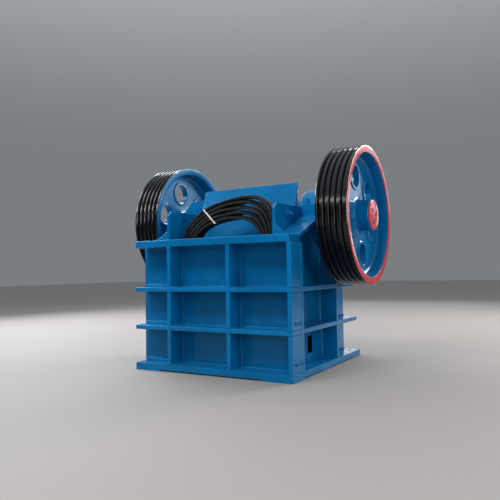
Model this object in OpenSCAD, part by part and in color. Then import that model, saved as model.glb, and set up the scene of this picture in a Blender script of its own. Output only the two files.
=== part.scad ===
// Single-toggle jaw crusher with a wide, shallow feed mouth.
// Millimetres. +X is the machine's right, -Y its front, +Z up.
// The origin is on the floor, at the middle of the base's bolt pattern.

/* [Frame] */
// Width over the base flange and the rib bands
frame_w = 1410; // [1360:5:1500]
// Length of the base flange from front to rear
frame_len = 1410; // [1380:5:1500]
// Depth of the front ribs, from their edge to the front wall
front_rib_d = 160; // [120:5:180]
// Thickness of the front wall
front_t = 40; // [30:1:45]
// Thickness of each side wall
side_t = 50; // [40:1:60]
// Thickness of the rear wall
rear_t = 40; // [30:1:50]
// How far the front wall runs past the bands on the left
left_lap = 35; // [0:1:45]
// Height of the foot pads under the base flange
foot_t = 10; // [6:1:20]
// Thickness of the base flange
base_t = 45; // [35:1:55]
// Underside of the lower rib band
band_lo_z = 324; // [300:1:340]
// Underside of the upper rib band
band_hi_z = 627; // [600:1:650]
// Thickness of both rib bands
band_t = 34; // [25:1:45]
// Underside of the top flange of the front wall
top_z = 980; // [950:1:990]
// Thickness of the top flange
top_t = 58; // [40:1:70]
// Thickness of the upright ribs
rib_t = 34; // [25:1:45]
// Distance of the foundation bolts from the edge of the base flange
bolt_edge = 65; // [55:1:75]
// Angle of the sloping side flanges
slope = 21.7; // [18:0.1:24]

/* [Feed mouth] */
// Clear width between the cheek plates
mouth_w = 960; // [900:5:980]
// Thickness of each cheek plate
cheek_t = 25; // [20:1:30]
// Height of the cheek plates' top edge
cheek_z = 1288; // [1240:1:1300]
// Thickness of each jaw plate with its teeth
jaw_t = 70; // [60:1:80]
// Height of one tooth
tooth_h = 26; // [16:1:34]
// Teeth on each jaw plate
teeth = 12; // [8:1:16]
// Bottom of the jaw plates above the floor
jaw_z = 170; // [150:1:200]
// Height of the jaw plates
jaw_h = 815; // [700:5:825]
// Height of the clamp bar above the fixed jaw plate
bar_h = 53; // [40:1:60]
// Height of the guard plate above the swing jaw
guard_h = 500; // [420:5:520]
// Gap between the jaws at the discharge
discharge = 45; // [35:1:60]
// Lean of the moving jaw from upright
jaw_lean = 14.5; // [12:0.1:16]

/* [Shaft and flywheels] */
// Shaft axis behind the front edge of the ribs
shaft_back = 889; // [880:1:900]
// Shaft axis above the floor
shaft_z = 1216; // [1205:1:1240]
// Throw of the eccentric
throw = 10; // [6:1:12]
// Radius of the eccentric part of the shaft
ecc_r = 105; // [90:1:115]
// Radius of the main journals
journal_r = 85; // [70:1:90]
// Running clearance of each journal
run_gap = 0.05; // [0.03:0.01:0.1]
// Flywheel diameter
wheel_d = 1120; // [1000:10:1140]
// Inner face of each flywheel from the centre plane
wheel_x = 750; // [740:1:780]
// Width of the flywheel rim
wheel_w = 250; // [220:1:260]
// Radial thickness of the rim
rim_t = 59; // [50:1:70]
// Belt grooves in each rim
grooves = 5; // [3:1:6]
// Depth of a belt groove
groove_d = 22; // [14:1:26]
// Thickness of the flywheel web
web_t = 40; // [30:1:60]
// Radius of the flywheel hub
hub_r = 127; // [110:1:140]
// Diameter of the round holes in the web
web_hole_d = 176; // [120:1:190]
// Width of the raised ring round each web hole
hole_ring_w = 27; // [15:1:30]
// Round holes in the web
web_holes = 6; // [4:1:6]

/* [Bearings] */
// Outer radius of the bearing housings
housing_r = 245; // [210:1:245]
// How far a bearing housing reaches outwards from the side wall's inner face
housing_w = 190; // [160:1:195]
// How far a bearing housing reaches inwards from the side wall's inner face
housing_in = 27; // [15:1:30]
// Thickness of the housing's split flange
split_t = 60; // [40:1:70]
// Thickness of the cap's split flange
cap_split_t = 100; // [80:1:110]
// Thickness of the ring-shaped bearing covers
cover_t = 20; // [12:1:22]

/* [Toggle] */
// Thickness of the toggle plate
toggle_t = 44; // [30:1:50]
// Radius of the toggle plate's round ends
toggle_r = 30; // [25:1:32]
// Radius of the tension rods
rod_r = 18; // [12:1:20]
// Radius of the pins at the front ends of the tension rods
pin_r = 14; // [10:1:18]

/* [Hidden] */
$fn = 96;
blue = "steelblue";
front_y = -frame_len / 2;
rear_y = frame_len / 2;
half_w = frame_w / 2;
wall_y = front_y + front_rib_d;
wall_in_y = wall_y + front_t;
side_in = mouth_w / 2 + cheek_t;
side_out = side_in + side_t;
base_z = foot_t + base_t;
deck_z = top_z + top_t;
shaft_y = front_y + shaft_back;
rear_gap = 10;
hole_r = 21;
hole_gap = 4;
bolt_x = max(half_w - bolt_edge, side_out + hole_r + hole_gap);
bolt_y = frame_len / 2 - 105;
mid_bolt_y = -80;
side_end_y = rear_y - rear_gap;
rear_wall_y = side_end_y - 170;
seat_half = housing_r + 5;
seat_z = shaft_z - split_t;
slope_top_z = shaft_z - 24;
slope_end_y = shaft_y - seat_half;
slope_z = slope_top_z - (slope_end_y - wall_in_y) * tan(slope);
rear_slope_y = shaft_y + seat_half;
rear_top_z = slope_top_z - (side_end_y - rear_slope_y) * tan(slope + 8);
flange_t = 32;
ecc_z = shaft_z - throw;
crest_y = wall_in_y + jaw_t;
jaw_lo_y = crest_y + discharge;
side_gap = 10;
liner_top = top_z + 10;
end_gap = 8;
head_half = side_in - housing_in - cover_t - end_gap;
ecc_half = head_half + 3;
hub_out = 15;
hub_in = 25;
wheel_gap = 8;
wheel_in = max(wheel_x, side_in + housing_w + cover_t + hub_in + wheel_gap);
shaft_half = wheel_in + wheel_w + hub_out - 2;
head_r = 185;
rod_x = 260;
rod_z = 140;
rod_y = front_y + 500;
rod_eye_y = rod_y + 45;
pitman_t = 55;
seat_gap = 0.2;
spring_gap = 20;
spring_l = 118;
guard_w = mouth_w / 2 - 22;
slab_top = jaw_h + 85;
toggle_y = front_y + 640;
toggle_z = 262;
toggle_back_y = rear_wall_y - 170;
socket_y = toggle_y - 17;
socket_t = 80;
socket_back = socket_y - socket_t - seat_gap;
socket_lo = toggle_z - 82;
socket_hi = toggle_z + 88;
toggle_back_z = 330;
shelf_z = toggle_back_z - 78;
shim_t = 50;
toggle_half = 430;
block_h = 160;
rib_x1 = -round(0.5163 * half_w);
rib_x2 = round(0.261 * half_w);
side_rib_y = front_y + 846;
band_lo_end = rear_y - 35;
band_hi_end = rear_y - 110;
liner_drop = 50;
liner_foot_y = front_y + 400;
liner_top_y = front_y + 560;
doubler_t = 12;
doubler_y = front_y + 558;
rim_in_r = wheel_d / 2 - rim_t - 7;
web_x = (wheel_w - web_t) / 2;
web_turn = 102;
hole_ring_r = (rim_in_r + hub_r) / 2 + 12;
bundle_w = 95;
tie_x = -148;
tie_z = 1222;
tie_angle = 133;
tie_w = 12;
tie_t = 3;
belt_y = crest_y + 0.3;

// Places a side profile, drawn in Y and Z, between two values of X
module across(x0, x1) {
    translate([x0, 0, 0]) rotate([90, 0, 90]) linear_extrude(x1 - x0) children();
}

// Both hands of a part that is drawn on the right
module left() {
    mirror([1, 0, 0]) children();
}

// A point along the moving jaw's face, s upwards from its foot and n behind the face
function face(s, n) = [
    jaw_lo_y + s * sin(jaw_lean) + n * cos(jaw_lean),
    jaw_z + s * cos(jaw_lean) - n * sin(jaw_lean)
];

module front_wall() {
    color(blue)
    translate([-half_w - left_lap, wall_y, base_z])
        cube([2 * half_w + left_lap, front_t, top_z - base_z]);
}

// Thick plate with its bearing seat, and the inspection window in a doubler plate near the foot
module side_wall() {
    color(blue)
    union() {
        across(side_in, side_out)
            difference() {
                polygon([
                    [wall_in_y, foot_t], [wall_in_y, slope_z],
                    [slope_end_y, slope_top_z], [slope_end_y, seat_z],
                    [rear_slope_y, seat_z], [rear_slope_y, slope_top_z],
                    [side_end_y, rear_top_z], [side_end_y, foot_t]
                ]);
                window();
                translate([shaft_y, shaft_z]) circle(r = housing_r);
            }
        across(side_out - 1, side_out + doubler_t)
            difference() {
                translate([doubler_y, base_z]) square([side_rib_y - doubler_y, band_lo_z - base_z]);
                window();
            }
    }
}

module window() {
    window_w = 90;
    window_z = 124;
    window_h = 134;
    translate([doubler_y + 5, window_z]) square([window_w, window_h]);
}

// Cross wall behind the toggle, with a shelf for the toggle block and holes for the tension rods
module rear_wall() {
    rod_hole = rod_r + throw + 10;
    wall_foot = 200;
    shelf_t = 30;
    lug_z = 70;
    color(blue)
    difference() {
        union() {
            translate([-side_in, rear_wall_y, wall_foot])
                cube([2 * side_in, rear_t, rear_top_z - 60 - wall_foot]);
            across(-side_in, side_in)
                polygon([
                    [rear_wall_y + 1, shelf_z], [rear_wall_y - 230, shelf_z],
                    [rear_wall_y - 230, shelf_z - shelf_t],
                    [rear_wall_y - 60, shelf_z - shelf_t - 22], [rear_wall_y + 1, shelf_z - shelf_t - 22]
                ]);
            for (x = [-rod_x, rod_x])
                translate([x - 75, rear_wall_y, lug_z]) cube([150, rear_t, wall_foot + 1 - lug_z]);
        }
        for (x = [-rod_x, rod_x])
            translate([x, rear_wall_y - 1, rod_z + throw])
                rotate([-90, 0, 0]) cylinder(r = rod_hole, h = rear_t + 2);
    }
}

// Flange round the foot of the frame, with pads under it and holes for the foundation bolts
module base_flange() {
    pad_l = 185;
    color(blue)
    difference() {
        union() {
            translate([-half_w, front_y, foot_t]) cube([frame_w, front_rib_d + front_t, base_t]);
            for (s = [-1, 1]) {
                x0 = s > 0 ? side_out : -half_w;
                translate([x0, front_y, foot_t]) cube([half_w - side_out, frame_len, base_t]);
                for (y = [front_y, mid_bolt_y - pad_l / 2, rear_y - pad_l])
                    translate([x0, y, 0]) cube([half_w - side_out, pad_l, foot_t + 1]);
                x1 = s > 0 ? 465 : -half_w;
                translate([x1, front_y, 0]) cube([half_w - 465, 130, foot_t + 1]);
            }
        }
        for (x = [-bolt_x, bolt_x], y = [-bolt_y, mid_bolt_y, bolt_y])
            translate([x, y, -1]) cylinder(r = hole_r, h = base_z + 2);
    }
    color(blue)
    translate([-side_in, rear_wall_y + rear_t + 20, foot_t]) cube([2 * side_in, 100, base_t]);
}

module lower_band() {
    band_ring(band_lo_z, band_lo_end);
}

module upper_band() {
    band_ring(band_hi_z, band_hi_end);
}

// Front strip in front of the wall and a strip along each side wall behind it
module band_ring(z, end_y) {
    color(blue)
    translate([0, 0, z]) {
        translate([-half_w, front_y, 0]) cube([frame_w, front_rib_d, band_t]);
        for (s = [0, 1])
            mirror([s, 0, 0])
                linear_extrude(band_t)
                    polygon([
                        [side_out, wall_in_y], [half_w, wall_in_y], [half_w, end_y - 40],
                        [half_w - 40, end_y], [side_out, end_y]
                    ]);
    }
}

module top_flange() {
    color(blue)
    translate([-half_w, front_y, top_z]) cube([frame_w - 16, front_rib_d + front_t, top_t]);
}

// Upright ribs, each in three lengths between the flat bands
module front_ribs() {
    color(blue)
    for (x = [rib_x1, rib_x2, half_w - rib_t / 2], zz = rib_spans())
        translate([x - rib_t / 2, front_y, zz[0]]) cube([rib_t, front_rib_d, zz[1] - zz[0]]);
}

function rib_spans() = [[base_z, band_lo_z], [band_lo_z + band_t, band_hi_z], [band_hi_z + band_t, top_z]];

module side_rib() {
    top = shaft_z - housing_r;
    spans = rib_spans();
    color(blue)
    for (i = [0:2])
        translate([side_out, side_rib_y, spans[i][0]])
            cube([half_w - side_out, rib_t, (i < 2 ? spans[i][1] : top) - spans[i][0]]);
}

// Three upright ribs and two cross ribs behind the rear wall
module rear_ribs() {
    depth = 100;
    foot = 232;
    y0 = rear_wall_y + rear_t;
    color(blue)
    union() {
        for (x = [-330, 0, 330])
            translate([x - rib_t / 2, y0, foot]) cube([rib_t, depth, rear_top_z - 60 - foot]);
        for (z = [band_lo_z, band_hi_z])
            translate([-side_in, y0, z]) cube([2 * side_in, depth, band_t]);
    }
}

// Flanges along the sloping top edges of a side wall, in front of the bearing and behind it
module slope_flange() {
    color(blue)
    across(side_in, half_w - 20)
        polygon([
            [wall_in_y, slope_z], [slope_end_y, slope_top_z],
            [slope_end_y, slope_top_z + flange_t], [wall_in_y, slope_z + flange_t]
        ]);
    color(blue)
    across(side_in, half_w - 20)
        polygon([
            [rear_slope_y, slope_top_z], [side_end_y, rear_top_z],
            [side_end_y, rear_top_z + flange_t], [rear_slope_y, slope_top_z + flange_t]
        ]);
}

// Plate at the side of the feed mouth, with the boss of a liner bolt and a gusset at its foot
module cheek() {
    corner = 40;
    boss_y = front_y + 372;
    boss_z = cheek_z - 75;
    gusset_t = 20;
    color(blue)
    difference() {
        union() {
            across(mouth_w / 2, side_in)
                polygon([
                    [wall_y + 5, deck_z], [wall_y + 5, cheek_z - corner], [wall_y + 5 + corner, cheek_z],
                    [slope_end_y - 10, cheek_z], [slope_end_y - 10, liner_top], [wall_in_y + 5, liner_top],
                    [wall_in_y + 5, deck_z]
                ]);
            translate([side_in - 1, boss_y, boss_z]) rotate([0, 90, 0]) cylinder(r = 36, h = 21);
            translate([side_in - 1, wall_y + 5 + gusset_t, deck_z])
                rotate([90, 0, 0]) linear_extrude(gusset_t) polygon([[0, 0], [100, 0], [0, 85]]);
        }
        translate([mouth_w / 2 - 1, boss_y, boss_z]) rotate([0, 90, 0]) cylinder(r = 16, h = cheek_t + 25);
    }
}

// Half ring of a bearing housing with its split flange; t is the flange's thickness, drawn below the axis
module half_housing(t) {
    across(side_in - housing_in, side_in + housing_w)
        translate([shaft_y, shaft_z])
            difference() {
                union() {
                    intersection() {
                        circle(r = housing_r);
                        translate([-housing_r, -housing_r]) square([2 * housing_r, housing_r]);
                    }
                    translate([-seat_half, -t]) square([2 * seat_half, t]);
                }
                circle(r = journal_r + run_gap);
            }
}

module bearing_housing() {
    color(blue)
    half_housing(split_t);
}

module bearing_cap() {
    color(blue)
    translate([0, 0, 2 * shaft_z]) mirror([0, 0, 1]) half_housing(cap_split_t);
}

// Ring-shaped covers on the outer and the inner end of a bearing
module bearing_covers() {
    color(blue)
    for (x = [side_in - housing_in - cover_t, side_in + housing_w])
        translate([x, shaft_y, shaft_z])
            rotate([0, 90, 0])
                difference() {
                    cylinder(r = 160, h = cover_t);
                    translate([0, 0, -1]) cylinder(r = journal_r + 3, h = cover_t + 2);
                }
}

// Cross-section of a jaw plate, toothed along its front
module jaw_section(half, shift) {
    pitch = 2 * half / teeth;
    difference() {
        translate([-half, 0]) square([2 * half, jaw_t]);
        for (i = [0:teeth])
            translate([-half + (i + shift) * pitch, 0])
                polygon([
                    [-pitch * 0.42, -1], [pitch * 0.42, -1], [pitch * 0.08, tooth_h], [-pitch * 0.08, tooth_h]
                ]);
    }
}

module fixed_jaw_plate() {
    color("dimgray")
    translate([0, crest_y, jaw_z])
        linear_extrude(jaw_h) mirror([0, 1]) jaw_section(mouth_w / 2 - 1, 0);
}

module jaw_clamp_bar() {
    color(blue)
    across(-mouth_w / 2, mouth_w / 2)
        translate([wall_in_y, jaw_z + jaw_h])
            polygon([
                [0, 0], [jaw_t - tooth_h, 0], [jaw_t - tooth_h, bar_h - 15], [jaw_t - tooth_h - 15, bar_h],
                [0, bar_h]
            ]);
}

module liner() {
    color("dimgray")
    across(mouth_w / 2, side_in)
        polygon([
            [wall_in_y, jaw_z - liner_drop], [wall_in_y, liner_top - seat_gap],
            [liner_top_y, liner_top - seat_gap], [liner_foot_y, jaw_z - liner_drop]
        ]);
}

module toggle_plate() {
    dy = toggle_back_y - toggle_y;
    dz = toggle_back_z - toggle_z;
    len = norm([dy, dz]);
    color("gray")
    translate([-toggle_half, toggle_y, toggle_z])
        rotate([atan2(dz, dy), 0, 0])
            rotate([90, 0, 90])
                linear_extrude(2 * toggle_half)
                    union() {
                        circle(r = toggle_r);
                        translate([len, 0]) circle(r = toggle_r);
                        translate([0, -toggle_t / 2]) square([len, toggle_t]);
                    }
}

module toggle_block() {
    color("dimgray")
    across(-side_in + 2, side_in - 2)
        difference() {
            translate([toggle_back_y, shelf_z]) square([rear_wall_y - toggle_back_y - shim_t, block_h]);
            translate([toggle_back_y, toggle_back_z]) circle(r = toggle_r + 0.3);
        }
}

module shims() {
    color("gray")
    translate([-toggle_half, rear_wall_y - shim_t, shelf_z]) cube([2 * toggle_half, shim_t, block_h - 10]);
}

// Closed smooth curve through a ring of points, with k steps from each to the next
function loop(p, k) = [
    for (i = [0:len(p) - 1], j = [0:k - 1])
        let (n = len(p), t = j / k, a = p[(i + n - 1) % n], b = p[i], c = p[(i + 1) % n], d = p[(i + 2) % n])
            0.5 * (2 * b + (c - a) * t + (2 * a - 5 * b + 4 * c - d) * t ^ 2 + (3 * b - a - 3 * c + d) * t ^ 3)
];

// Outer and inner edge of the coiled belts as they stand in the mouth, in X and Z
belt_outer = [
    [-430, 1040], [-372, 1165], [-260, 1262], [-130, 1325], [20, 1366], [160, 1390], [300, 1376], [400, 1305],
    [440, 1180], [425, 980], [340, 790], [180, 640], [0, 585], [-180, 630], [-340, 760], [-425, 910]
];
belt_inner = [
    [-300, 1040], [-225, 1115], [-110, 1165], [20, 1185], [150, 1180], [250, 1140], [315, 1060], [330, 940],
    [260, 810], [130, 725], [0, 700], [-130, 725], [-250, 820], [-305, 930]
];

module bundle() {
    translate([0, belt_y + bundle_w, 0])
        rotate([90, 0, 0])
            linear_extrude(bundle_w)
                difference() {
                    polygon(loop(belt_outer, 4));
                    polygon(loop(belt_inner, 4));
                }
}

// The band of the bundle that the tie wraps
module tie_zone() {
    intersection() {
        bundle();
        translate([tie_x, belt_y, tie_z])
            rotate([0, -tie_angle, 0])
                difference() {
                    translate([-150, -1, -tie_w / 2]) cube([300, bundle_w + 2, tie_w]);
                    translate([-76, tie_t, -tie_w]) cube([152, bundle_w - 2 * tie_t, 2 * tie_w]);
                }
    }
}

module belt_bundle() {
    color("black")
    difference() {
        bundle();
        tie_zone();
    }
}

module belt_tie() {
    color("white")
    tie_zone();
}

module eccentric_shaft() {
    color("gray")
    union() {
        translate([-shaft_half, shaft_y, shaft_z])
            rotate([0, 90, 0]) cylinder(r = journal_r, h = 2 * shaft_half);
        translate([-ecc_half, shaft_y, ecc_z])
            rotate([0, 90, 0]) cylinder(r = ecc_r, h = 2 * ecc_half);
    }
}

// Rim of a flywheel with its belt grooves, as radius and X from the inner face, with casting draft inside
module rim_profile() {
    r = wheel_d / 2;
    land = 12;
    pitch = (wheel_w - 2 * land) / grooves;
    groove_top = pitch - 10;
    groove_foot = groove_top - 2 * groove_d * tan(18);
    difference() {
        polygon([
            [r - rim_t + 4, 0], [r - 4, 0], [r, 4], [r, wheel_w - 4], [r - 4, wheel_w],
            [r - rim_t + 4, wheel_w],
            [r - rim_t, wheel_w - 4], [rim_in_r, web_x + web_t + 28], [rim_in_r, web_x - 28], [r - rim_t, 4]
        ]);
        for (i = [0:grooves - 1])
            translate([r, land + pitch * (i + 0.5)])
                polygon([
                    [1, -groove_top / 2], [1, groove_top / 2],
                    [-groove_d, groove_foot / 2], [-groove_d, -groove_foot / 2]
                ]);
    }
}

// Concave corner fillet for a profile
module fillet(r) {
    difference() {
        square(r);
        translate([r, r]) circle(r = r);
    }
}

// Web and hub of a flywheel, with cast fillets where the web runs into hub and rim
module web_profile() {
    web_r = rim_in_r - seat_gap;
    translate([hub_r - 1, web_x]) square([web_r - hub_r + 1, web_t]);
    translate([journal_r + run_gap, -hub_in])
        square([hub_r - journal_r - run_gap, hub_in + wheel_w + hub_out]);
    translate([hub_r, web_x + web_t]) fillet(30);
    translate([hub_r, web_x]) mirror([0, 1]) fillet(30);
    translate([web_r, web_x + web_t]) mirror([1, 0]) fillet(24);
    translate([web_r, web_x]) rotate(180) fillet(24);
}

module wheel_rim() {
    color("black")
    translate([wheel_in, shaft_y, shaft_z]) rotate([0, 90, 0]) rotate_extrude() rim_profile();
}

// Pattern of the round holes in a web, as cylinders along X
module web_pattern(d, x, h) {
    for (i = [0:web_holes - 1])
        translate([wheel_in + x, shaft_y, shaft_z])
            rotate([web_turn + i * 360 / web_holes, 0, 0])
                translate([0, hole_ring_r, 0]) rotate([0, 90, 0]) cylinder(d = d, h = h);
}

module wheel_web() {
    bead = 9;
    color("midnightblue")
    difference() {
        union() {
            translate([wheel_in, shaft_y, shaft_z]) rotate([0, 90, 0]) rotate_extrude() web_profile();
            web_pattern(web_hole_d + 2 * hole_ring_w, web_x - bead, web_t + 2 * bead);
        }
        web_pattern(web_hole_d, 0, wheel_w);
    }
}

module hub_cap() {
    color("crimson")
    translate([wheel_in + wheel_w + hub_out, shaft_y, shaft_z])
        rotate([0, 90, 0]) cylinder(r = hub_r - 6, h = 10);
}

// Bored barrel of the swing jaw, which runs on the eccentric part of the shaft
module pitman_head() {
    color(blue)
    difference() {
        barrel(0);
        translate([-head_half - 1, shaft_y, ecc_z])
            rotate([0, 90, 0]) cylinder(r = ecc_r + run_gap, h = 2 * head_half + 2);
    }
}

// The barrel's outside, thicker over the two bearings, with an allowance for what is cut to fit it
module barrel(gap) {
    translate([-head_half, shaft_y, ecc_z])
        rotate([0, 90, 0]) cylinder(r = head_r - 12 + gap, h = 2 * head_half);
    for (x = [-head_half - gap, head_half - 130])
        translate([x, shaft_y, ecc_z]) rotate([0, 90, 0]) cylinder(r = head_r + gap, h = 130 + gap);
}

// Body of the swing jaw: a front slab, webs up to the barrel, and a foot beam for the toggle's seat
module pitman() {
    back = jaw_t + pitman_t;
    color(blue)
    difference() {
        union() {
            across(-mouth_w / 2 + side_gap, mouth_w / 2 - side_gap)
                polygon([
                    face(-10, jaw_t + seat_gap), face(slab_top, jaw_t + seat_gap), face(slab_top, back),
                    face(-40, back)
                ]);
            for (x = [-440, -230, -20, 190, 400])
                across(x, x + 40)
                    polygon([
                        face(0, jaw_t + 10), face(slab_top - 10, jaw_t + 10), face(slab_top - 10, back),
                        [shaft_y - 120, ecc_z + 130], [shaft_y + 120, ecc_z - 130], [shaft_y - 60, 760],
                        [socket_y - 10, socket_hi + 50], [socket_y - 10, socket_hi - 10]
                    ]);
            across(-440, 440)
                polygon([
                    face(20, jaw_t + 20), face(230, jaw_t + 20), [socket_back, socket_hi],
                    [socket_back, socket_lo]
                ]);
        }
        barrel(seat_gap);
        across(-toggle_half - 10 - seat_gap, toggle_half + 10 + seat_gap)
            translate([socket_back, socket_lo - seat_gap])
                square([2 * socket_t, socket_hi - socket_lo + 2 * seat_gap]);
    }
}

// Two forked lugs under the foot beam, which take the pins of the tension rods
module rod_lugs() {
    lug_x = 33;
    back = jaw_t + pitman_t + seat_gap;
    color(blue)
    for (x = [-rod_x, rod_x], side = [-1, 1])
        difference() {
            across(x + side * lug_x - 13, x + side * lug_x + 13)
                union() {
                    polygon([
                        face(-35, back), face(32, back), [rod_eye_y, rod_z + 38], [rod_eye_y, rod_z - 38]
                    ]);
                    translate([rod_eye_y, rod_z]) circle(r = 38);
                }
            translate([x - 60, rod_eye_y, rod_z])
                rotate([0, 90, 0]) cylinder(r = pin_r + seat_gap, h = 120);
        }
}

// Wear block in the foot of the swing jaw, with the round groove that the toggle plate pushes in
module toggle_seat() {
    color("dimgray")
    across(-toggle_half - 10, toggle_half + 10)
        difference() {
            translate([socket_y - socket_t, socket_lo]) square([socket_t, socket_hi - socket_lo]);
            translate([toggle_y, toggle_z - throw]) circle(r = toggle_r + throw + 14);
        }
}

module moving_jaw_plate() {
    color("dimgray")
    translate([0, jaw_lo_y, jaw_z])
        rotate([-jaw_lean, 0, 0])
            linear_extrude(jaw_h) jaw_section(mouth_w / 2 - side_gap, 0.5);
}

// Plate over the mouth, bolted to the top of the swing jaw, with three gussets behind it
module guard_plate() {
    s0 = slab_top + seat_gap;
    color(blue)
    union() {
        across(-guard_w, guard_w)
            polygon([
                face(jaw_h + 65, 10), face(jaw_h + 65 + guard_h, 10), face(jaw_h + 65 + guard_h, 38),
                face(s0 + 20, 38),
                face(s0 + 20, 120), face(s0, 120), face(s0, 38), face(jaw_h + 65, 38)
            ]);
        for (x = [-440, -10, 420])
            across(x, x + 20)
                polygon([face(s0 + 10, 30), face(s0 + 220, 30), face(s0 + 220, 38), face(s0 + 10, 120)]);
    }
}

module jaw_wedge() {
    color("dimgray")
    across(-mouth_w / 2 + side_gap, mouth_w / 2 - side_gap)
        polygon([
            face(jaw_h + seat_gap, 20), face(jaw_h + 60, 20), face(jaw_h + 60, jaw_t),
            face(jaw_h + seat_gap, jaw_t)
        ]);
}

// Rods with an eye and pin in the swing jaw's lugs, threaded at the rear
module tension_rods() {
    color("gray")
    for (x = [-rod_x, rod_x])
        union() {
            translate([x, rod_eye_y, rod_z])
                rotate([-90, 0, 0]) cylinder(r = rod_r, h = rear_y - rod_eye_y + 25);
            translate([x - 16, rod_eye_y, rod_z]) rotate([0, 90, 0]) cylinder(r = 30, h = 32);
            translate([x - 54, rod_eye_y, rod_z]) rotate([0, 90, 0]) cylinder(r = pin_r, h = 108);
        }
}

module tension_springs() {
    color("gray")
    for (x = [-rod_x, rod_x])
        translate([x, rear_wall_y + rear_t + spring_gap, rod_z])
            rotate([-90, 0, 0])
                difference() {
                    cylinder(r = 45, h = spring_l);
                    translate([0, 0, -1]) cylinder(r = rod_r + 0.3, h = spring_l + 2);
                }
}

// Washer plate and nut behind each spring
module spring_plates() {
    plate_t = 14;
    color("gray")
    for (x = [-rod_x, rod_x])
        translate([x, rear_wall_y + rear_t + spring_gap + spring_l, rod_z])
            rotate([-90, 0, 0])
                difference() {
                    union() {
                        cylinder(r = 52, h = plate_t);
                        cylinder(r = 31, h = plate_t + 28, $fn = 6);
                    }
                    translate([0, 0, -1]) cylinder(r = rod_r + 0.3, h = plate_t + 30);
                }
}

front_wall();
left() side_wall();  // left_side_wall
side_wall();  // right_side_wall
rear_wall();
base_flange();
lower_band();
upper_band();
top_flange();
front_ribs();
left() side_rib();  // left_side_rib
side_rib();  // right_side_rib
rear_ribs();
left() slope_flange();  // left_slope_flange
slope_flange();  // right_slope_flange
left() cheek();  // left_cheek
cheek();  // right_cheek
left() bearing_housing();  // left_bearing_housing
bearing_housing();  // right_bearing_housing
left() bearing_cap();  // left_bearing_cap
bearing_cap();  // right_bearing_cap
left() bearing_covers();  // left_bearing_covers
bearing_covers();  // right_bearing_covers
fixed_jaw_plate();
jaw_clamp_bar();
left() liner();  // left_liner
liner();  // right_liner
toggle_plate();
toggle_block();
shims();
belt_bundle();
belt_tie();
eccentric_shaft();
left() wheel_rim();  // left_wheel_rim
wheel_rim();  // right_wheel_rim
left() wheel_web();  // left_wheel_web
wheel_web();  // right_wheel_web
left() hub_cap();  // left_hub_cap
hub_cap();  // right_hub_cap
pitman_head();
pitman();
rod_lugs();
toggle_seat();
moving_jaw_plate();
guard_plate();
jaw_wedge();
tension_rods();
tension_springs();
spring_plates();
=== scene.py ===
import bpy
import math
from mathutils import Matrix, Vector


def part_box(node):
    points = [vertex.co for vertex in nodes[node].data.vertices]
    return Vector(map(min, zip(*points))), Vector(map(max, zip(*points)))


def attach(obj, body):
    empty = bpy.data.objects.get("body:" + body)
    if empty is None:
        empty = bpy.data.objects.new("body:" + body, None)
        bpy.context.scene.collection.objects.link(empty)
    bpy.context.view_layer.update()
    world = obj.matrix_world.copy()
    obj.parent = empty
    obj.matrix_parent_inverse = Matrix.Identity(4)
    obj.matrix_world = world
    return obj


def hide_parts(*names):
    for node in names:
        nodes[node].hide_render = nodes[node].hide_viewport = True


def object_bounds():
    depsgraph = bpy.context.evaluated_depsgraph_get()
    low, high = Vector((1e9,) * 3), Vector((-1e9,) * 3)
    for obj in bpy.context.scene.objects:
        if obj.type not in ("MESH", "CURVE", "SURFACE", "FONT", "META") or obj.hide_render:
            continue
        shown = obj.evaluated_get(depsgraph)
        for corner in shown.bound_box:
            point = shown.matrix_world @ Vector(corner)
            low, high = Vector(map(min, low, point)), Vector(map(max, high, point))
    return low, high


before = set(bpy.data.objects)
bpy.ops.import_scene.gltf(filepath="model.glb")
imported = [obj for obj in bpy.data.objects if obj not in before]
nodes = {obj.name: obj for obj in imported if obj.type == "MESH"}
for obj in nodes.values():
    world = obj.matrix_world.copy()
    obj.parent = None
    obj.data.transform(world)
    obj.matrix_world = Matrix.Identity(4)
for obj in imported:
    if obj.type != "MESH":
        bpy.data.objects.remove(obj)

cad_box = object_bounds()
bpy.ops.object.select_all(action="DESELECT")

# Camera
# Stands low at the front right corner, a little below the shaft, as the photograph was taken.
# Its lens, place and slight roll were fitted to the machine's corners, bands and flywheels.
lens = bpy.data.cameras.new("camera")
lens.sensor_width = 36
lens.lens = 541.22 / 500 * 36
camera = bpy.data.objects.new("camera", lens)
turn = Matrix.Rotation(math.radians(30.04), 4, "Z") @ Matrix.Rotation(math.radians(92.18), 4, "X")
turn = turn @ Matrix.Rotation(math.radians(-0.98), 4, "Z")
camera.matrix_world = Matrix.Translation((2.3305, -4.0745, 0.7831)) @ turn
bpy.context.scene.collection.objects.link(camera)
bpy.context.scene.camera = camera

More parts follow.
